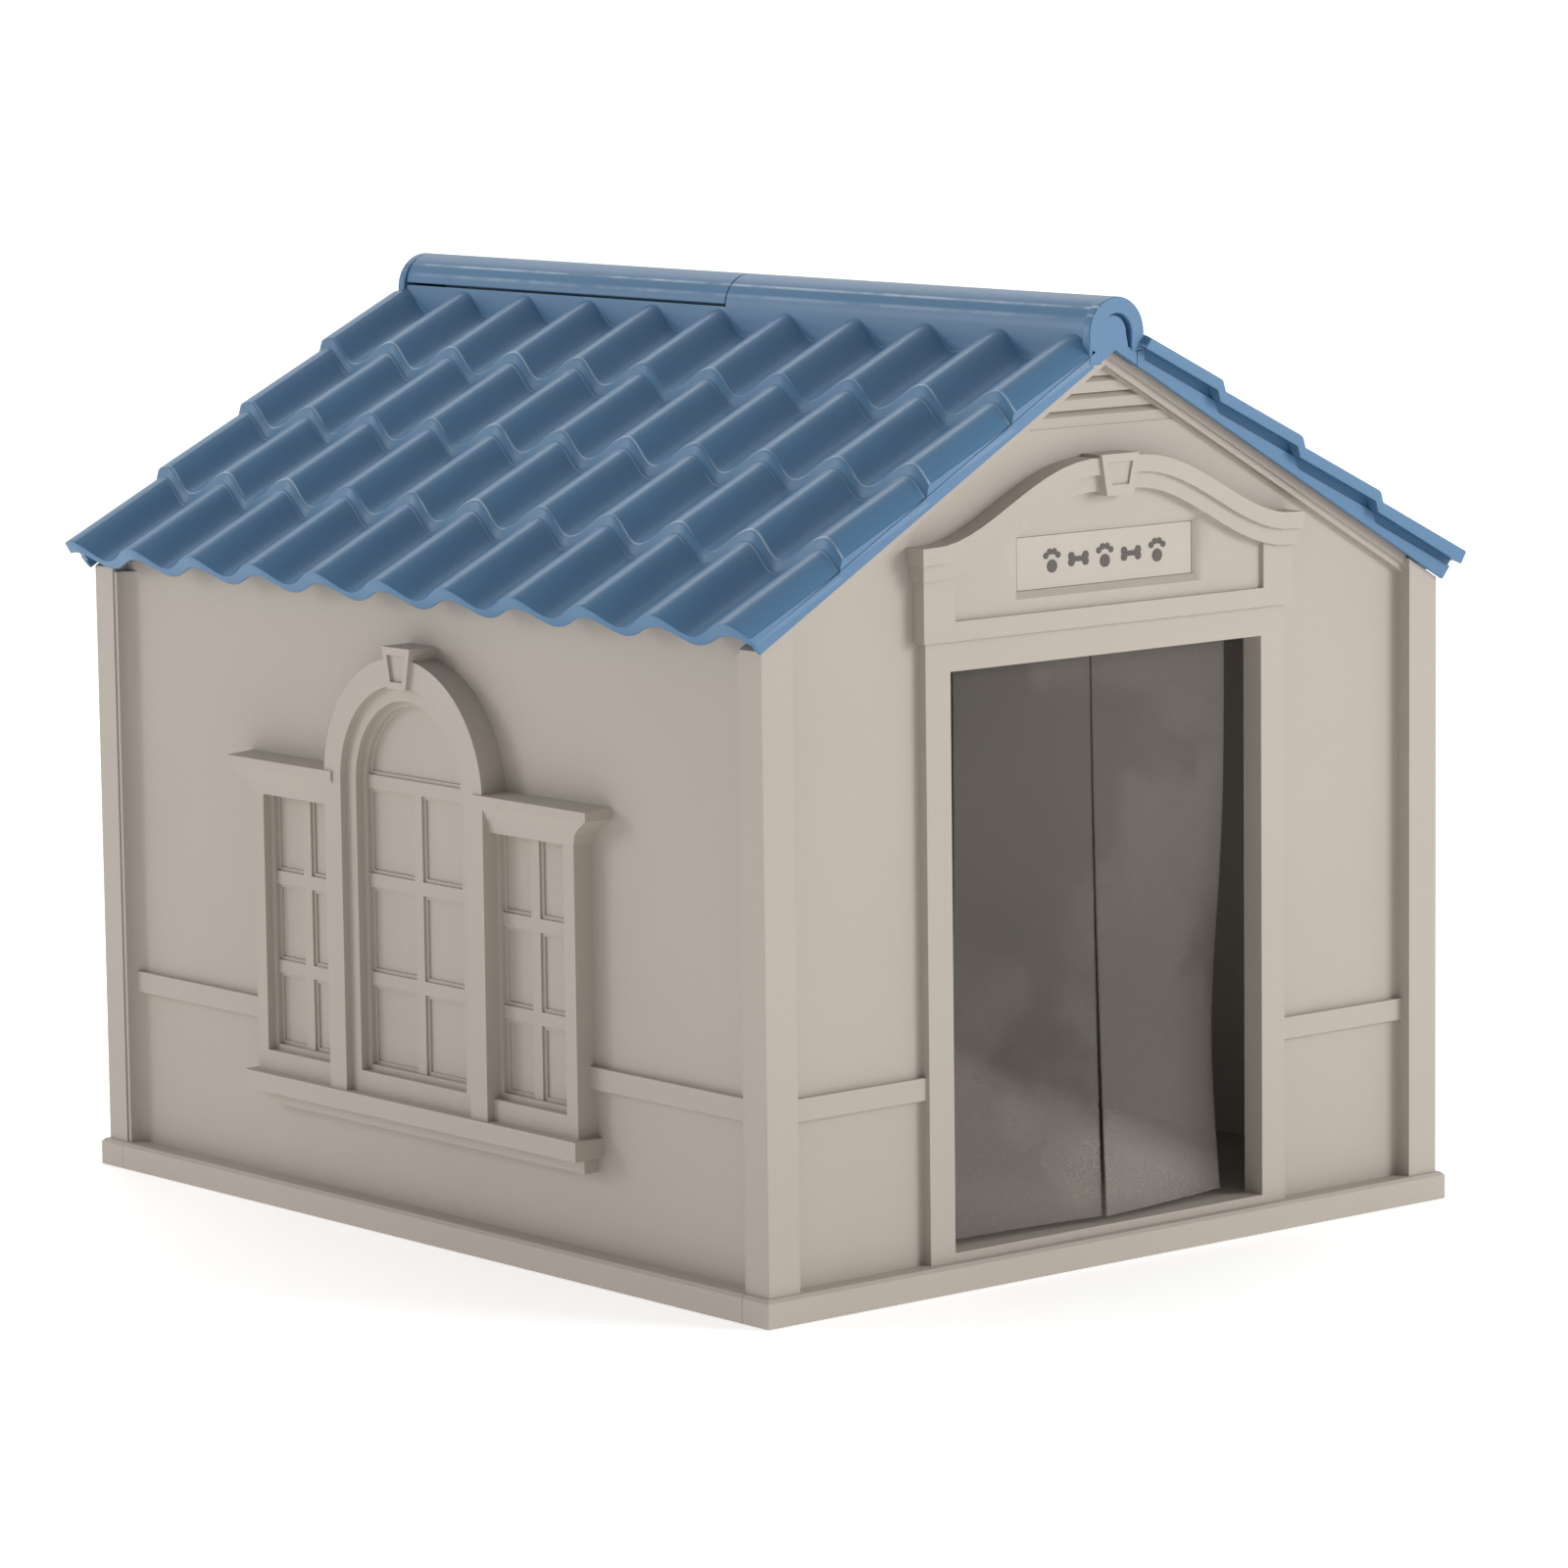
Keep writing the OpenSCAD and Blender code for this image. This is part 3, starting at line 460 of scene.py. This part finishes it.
# places and lengths in mm, the pitch in degrees
roof = {
    "pitch": 29.8, "crestHeight": 814, "crestPlace": 474,
    "waveLength": 93.3, "waveFall": 34, "waveHeight": 23, "waveParts": 24,
    "rowStep": 8.5, "firstEdge": 20,
    "stepLean": 3, "noseRound": 1.8, "footRound": 1.4, "support": 4,
    "shell": (6.8, 8.0), "crestExtra": 3, "thickEdge": 25, "edgeRound": 1.1,
    "eaveLean": 0.85, "gableApex": 776,
    "frontEnd": 478, "frontTip": 480.4, "endParts": (12, 8, 4, 0), "crestClear": 3.1, "ringClear": 1.2,
    "upstand": 27.9, "upstandTop": 793.5, "foldRound": 1.6,
    "boardIn": 475.2, "boardOut": 481, "boardLine": 14, "boardStart": 24, "boardStep": (3, 2),
    "fasciaOut": 479, "fasciaDrop": 21, "fasciaFoot": (25.3, 774.3), "stripTop": 10, "stripIn": 5,
    "capRadius": 28, "capWall": 3.5, "capEdge": 795, "capLegFoot": 777, "halfGap": 0.3,
    "ringRadius": 31, "ringInner": 17, "ringFront": 471.5, "discFront": 473.7, "plugFront": 479.5,
    "nearLegFoot": 765, "farLegFoot": 775, "faceFoot": (24.5, 775.5), "faceNear": 20,
    "plugShift": 3.5, "plugLess": 1.5, "plugFoot": (14.5, 778),
    "web": ((-6.5, 762), (-0.5, 798)), "webEnd": 440, "under": ((-31, 758), (-0.5, 773)), "underThick": 5,
}
roofLow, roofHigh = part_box("roof_panel_left")
eave = -roofLow.x / mm
tileEnd = roofHigh.y / mm
ridgeTop = roofHigh.z / mm
rise = math.tan(math.radians(roof["pitch"]))
innerEdges = [eave - rowSizes["eaveRun"] - n * rowSizes["rowRun"] for n in (2, 1, 0)]
rowEdges = [roof["firstEdge"]] + innerEdges + [eave]


def waveDrop(y):
    place = (roof["crestPlace"] - y) % roof["waveLength"]
    fall, whole = roof["waveFall"], roof["waveLength"]
    if place < fall:
        return roof["waveHeight"] * (1 - math.cos(math.pi * place / fall)) / 2
    return roof["waveHeight"] * (1 + math.cos(math.pi * (place - fall) / (whole - fall))) / 2


def rowSlope(row):
    return rise - roof["rowStep"] / (rowEdges[row] - rowEdges[row - 1])


def rowPoint(row, x):
    # a point of a row's crest line, as (distance from the ridge, height)
    edge = rowEdges[row]
    return Vector((x, roof["crestHeight"] - edge * rise + (edge - x) * rowSlope(row)))


def eaveShift(drop):
    # how far in from the crests' tips the leaning eave edge is, for a line lowered by drop
    return drop / (1 / roof["eaveLean"] + rowSlope(4))


def roundCorner(before, corner, after, radius, parts=4):
    start = corner + (before - corner).normalized() * radius
    end = corner + (after - corner).normalized() * radius
    shares = [part / parts for part in range(parts + 1)]
    return [start.lerp(corner, share).lerp(corner.lerp(end, share), share) for share in shares]


def tileProfile():
    # the crest line from the upstand beside the ridge down to the eave
    fold = rowPoint(1, roof["upstand"])
    points = [Vector((roof["upstand"], roof["upstandTop"]))]
    points += roundCorner(points[0], fold, rowPoint(1, rowEdges[1]), roof["foldRound"])
    points.append(rowPoint(1, roof["upstand"] + roof["foldRound"] + roof["support"]))
    for row in (1, 2, 3):
        half = roof["stepLean"] / 2
        nose = rowPoint(row, rowEdges[row] - half)
        foot = rowPoint(row + 1, rowEdges[row] + half)
        before, after = rowPoint(row, rowEdges[row] - 20), rowPoint(row + 1, rowEdges[row] + 20)
        points.append(nose + (before - nose).normalized() * (roof["noseRound"] + roof["support"]))
        points += roundCorner(before, nose, foot, roof["noseRound"])
        points += roundCorner(nose, foot, after, roof["footRound"])
        points.append(foot + (after - foot).normalized() * (roof["footRound"] + roof["support"]))
    return points + [rowPoint(4, eave - roof["support"]), rowPoint(4, eave)]


def tileSheet():
    profile = tileProfile()
    step = roof["waveLength"] / roof["waveParts"]
    crest = roof["crestPlace"]
    clearX, clearY = roof["ringRadius"] + roof["ringClear"], crest - roof["crestClear"]
    places = [crest - n * step for n in range(int((crest + roof["frontEnd"]) / step))]
    places += [tileEnd - part for part in roof["endParts"]] + [clearY + 0.1, clearY - 0.1, -roof["frontTip"]]
    places.sort()
    across, along = len(profile) - 1, len(places) - 1
    bpy.ops.mesh.primitive_grid_add(x_subdivisions=across, y_subdivisions=along, size=2)
    sheet = bpy.context.object
    for vertex in sheet.data.vertices:
        column = round((vertex.co.x + 1) / 2 * across)
        y = places[round((vertex.co.y + 1) / 2 * along)]
        x, z = profile[column]
        drop = waveDrop(y) if column else 0
        if y > clearY and x < clearX:
            x, z = rowPoint(1, clearX)
            drop = waveDrop(y)
        if column > across - 2:
            x, z = rowPoint(4, x - eaveShift(drop))
        vertex.co = Vector((-x, y, z - drop)) * mm
    selectOnly(sheet)
    bpy.ops.object.mode_set(mode="EDIT")
    bpy.ops.mesh.select_all(action="SELECT")
    bpy.ops.mesh.remove_doubles(threshold=0.001 * mm)
    down = (roof["shell"][0] * mm, 0, -roof["shell"][1] * mm)
    bpy.ops.mesh.extrude_region_move(TRANSFORM_OT_translate={"value": down})
    bpy.ops.object.mode_set(mode="OBJECT")
    # the edge at the eave is thicker under the crests
    for vertex in sheet.data.vertices:
        if vertex.select and vertex.co.x < (roof["thickEdge"] - eave) * mm:
            vertex.co.z -= roof["crestExtra"] * mm * (1 - waveDrop(vertex.co.y / mm) / roof["waveHeight"])
    closeShell(sheet)
    addModifier(sheet, "BEVEL", width=roof["edgeRound"] * mm, segments=2, limit_method="ANGLE",
                angle_limit=math.radians(55), use_clamp_overlap=False)
    return sheet


def slab(outline, front, back, radius=1.0):
    # a flat outline (x, z) made a board between two places along Y
    bpy.ops.mesh.primitive_circle_add(vertices=len(outline), fill_type="NGON")
    board = bpy.context.object
    for vertex, (x, z) in zip(board.data.vertices, outline):
        vertex.co = Vector((x, front, z)) * mm
    selectOnly(board)
    bpy.ops.object.mode_set(mode="EDIT")
    bpy.ops.mesh.select_all(action="SELECT")
    bpy.ops.mesh.extrude_region_move(TRANSFORM_OT_translate={"value": (0, (back - front) * mm, 0)})
    bpy.ops.object.mode_set(mode="OBJECT")
    closeShell(board)
    if radius:
        addModifier(board, "BEVEL", width=radius * mm, segments=2, limit_method="ANGLE",
                    angle_limit=math.radians(40), use_clamp_overlap=True)
    return board


def arc(x, z, radius, start, end, parts=28):
    angles = [math.radians(start + (end - start) * n / parts) for n in range(parts + 1)]
    return [(x + radius * math.cos(a), z + radius * math.sin(a)) for a in angles]


def gableHeight(x):
    return roof["gableApex"] - abs(x) * rise


def stepLine(drop, start):
    # the stepped tile line lowered by drop, from start down to the leaning eave edge
    end = eave - eaveShift(drop)
    line = [(x, z - drop) for x, z in tileProfile() if start + 1 < x < end - 1]
    last = rowPoint(4, end)
    return [(start, rowPoint(1, start).y - drop)] + line + [(last.x, last.y - drop)]


def gableEnd(foot):
    # where a line foot above the gable meets the leaning eave edge
    tip = rowPoint(4, eave)
    x = (roof["gableApex"] + foot - tip.y + tip.x / roof["eaveLean"]) / (rise + 1 / roof["eaveLean"])
    return (x, gableHeight(x) + foot)


def boardOutline(drop, start, foot):
    outline = stepLine(drop, start) + [gableEnd(foot), (start, gableHeight(start) + foot)]
    return [(-x, z) for x, z in outline]


def bargeBoards():
    edge = waveDrop(-roof["boardOut"]) - 0.5
    out, inside, start = -roof["boardOut"], -roof["boardIn"], roof["boardStart"]
    lower, back = roof["boardStep"]
    return [slab(boardOutline(edge, start, roof["boardLine"]), out, inside - 1),
            slab(boardOutline(edge + lower, start, 0), out + back, inside)]


def fasciaBoards():
    clear, inside = roof["ringRadius"] + roof["ringClear"], roof["boardIn"]
    lower = slab(boardOutline(roof["fasciaDrop"], clear, 0), inside, roof["fasciaOut"])
    (near, top), far = roof["fasciaFoot"], clear + 1
    corner = [(near, gableHeight(near)), (near, top), (far, top), (far, gableHeight(far))]
    corner = slab([(-x, z) for x, z in corner], inside, roof["fasciaOut"], 0)
    low = stepLine(roof["fasciaDrop"] + roof["stripIn"], clear)
    strip = stepLine(roof["stripTop"], clear) + low[::-1]
    strip = slab([(-x, z) for x, z in strip], inside - roof["stripIn"], inside + roof["halfGap"], 0)
    return [lower, corner, strip]


def capHalf():
    radius, wall, foot = roof["capRadius"], roof["capWall"], roof["capLegFoot"]
    centre = ridgeTop - radius
    edge = math.degrees(math.asin((roof["capEdge"] - centre) / radius))
    outline = arc(0, centre, radius, edge, 180) + [(-radius, foot), (-radius + wall, foot)]
    outline += arc(0, centre, radius - wall, 180, edge)
    return slab(outline, -roof["ringFront"] - 1, -roof["halfGap"], 1.1)


def capEnd():
    # the ring round the cap's front, the panel sunk in it and the plug flush with it on one side
    out, inner, front = roof["ringRadius"], roof["ringInner"], -roof["ringFront"]
    near, far, (footX, footZ) = roof["nearLegFoot"], roof["farLegFoot"], roof["faceFoot"]
    height = ridgeTop - out
    outline = [(out, far)] + arc(0, height, out, 0, 180) + [(-out, near), (-inner, near)]
    outline += arc(0, height, inner, 180, 0) + [(inner, far)]
    ring = slab(outline, -roof["boardOut"], front, 1.2)
    side = roof["faceNear"]
    foot = [(footX, footZ), (footX, gableHeight(footX)), (0, roof["gableApex"]), (-side, gableHeight(side))]
    panel = slab(arc(0, height, inner + 2, 180, 0, 16) + foot, -roof["discFront"], front, 0)
    outline = [(-side, height)] + arc(-roof["plugShift"], height, inner - roof["plugLess"], 165, 0, 16)
    plug = slab(outline + [roof["plugFoot"]] + foot, -roof["plugFront"], front, 0.5)
    return [ring, panel, plug]


def ridgeWeb():
    (left, low), (right, high) = roof["web"]
    end, thick = roof["webEnd"], roof["underThick"]
    web = slab([(left, low), (right, low), (right, high), (left, high)], -end, end)
    (left, low), (right, high) = roof["under"]
    under = slab([(left, low), (left, low + thick), (right, high + thick), (right, high)], -end, end)
    return [web, under]


roofLeft = joinPieces("roofLeftMoulding", [tileSheet(), capHalf()] + fasciaBoards() + bargeBoards() + capEnd()
                      + ridgeWeb())
smoothPiece(roofLeft)
roofRight = bpy.data.objects.new("roofRightMoulding", roofLeft.data.copy())
bpy.context.scene.collection.objects.link(roofRight)
roofRight.data.transform(Matrix.Rotation(math.pi, 4, "Z"))
finishPiece(roofLeft, roofResin, "roof", "roof_resin", "roof_panel_left")
finishPiece(roofRight, roofResin, "roof", "roof_resin", "roof_panel_right")
print("roof panels made")


# ---- door flaps ----

# the seam's gap and the sway are in mm, the curl's place and width in shares of the height
flapSettings = {"across": 24, "down": 64, "seamGap": 0.7, "curlAt": 0.72, "curlWidth": 0.3, "sway": 1.5}


def makeFlap(name, node, body, side, bulge, curl):
    # a vinyl sheet that has taken a set: it bows out at the seam and curls in at its free edge
    low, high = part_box(node)
    thick = high.y - low.y
    top = high.z - thick / 2
    seam = flapSettings["seamGap"] * mm
    left = low.x + (seam if side > 0 else 0)
    wide = high.x - low.x - seam
    bpy.ops.mesh.primitive_grid_add(x_subdivisions=flapSettings["across"], y_subdivisions=flapSettings["down"],
                                    size=2)
    flap = bpy.context.object
    flap.name = name
    for vertex in flap.data.vertices:
        across = (vertex.co.x + 1) / 2
        down = (1 - vertex.co.y) / 2
        inner = 1 - across if side > 0 else across
        lower = (down - flapSettings["curlAt"]) / flapSettings["curlWidth"]
        height = math.exp(-lower ** 2) * min(1, down * 6)
        out = -bulge * down ** 1.5 * inner ** 1.3 + curl * (1 - inner) ** 2.2 * height
        out += flapSettings["sway"] * math.sin(down * 9 + side) * math.sin(inner * math.pi) * min(1, down * 4)
        vertex.co = Vector((left + across * wide, low.y + out * mm, top - down * (top - low.z)))
    selectOnly(flap)
    bpy.ops.object.mode_set(mode="EDIT")
    bpy.ops.mesh.select_all(action="SELECT")
    bpy.ops.mesh.extrude_region_move(TRANSFORM_OT_translate={"value": (0, thick, 0)})
    bpy.ops.object.mode_set(mode="OBJECT")
    closeShell(flap)
    selectOnly(flap)
    bpy.ops.object.shade_smooth_by_angle(angle=math.radians(40))
    finishPiece(flap, vinyl, body, "clear_vinyl", node)


makeFlap("leftFlapSheet", "left_flap", "flap_left", -1, 11, 5)
makeFlap("rightFlapSheet", "right_flap", "flap_right", 1, 15, 17)
print("flaps made")
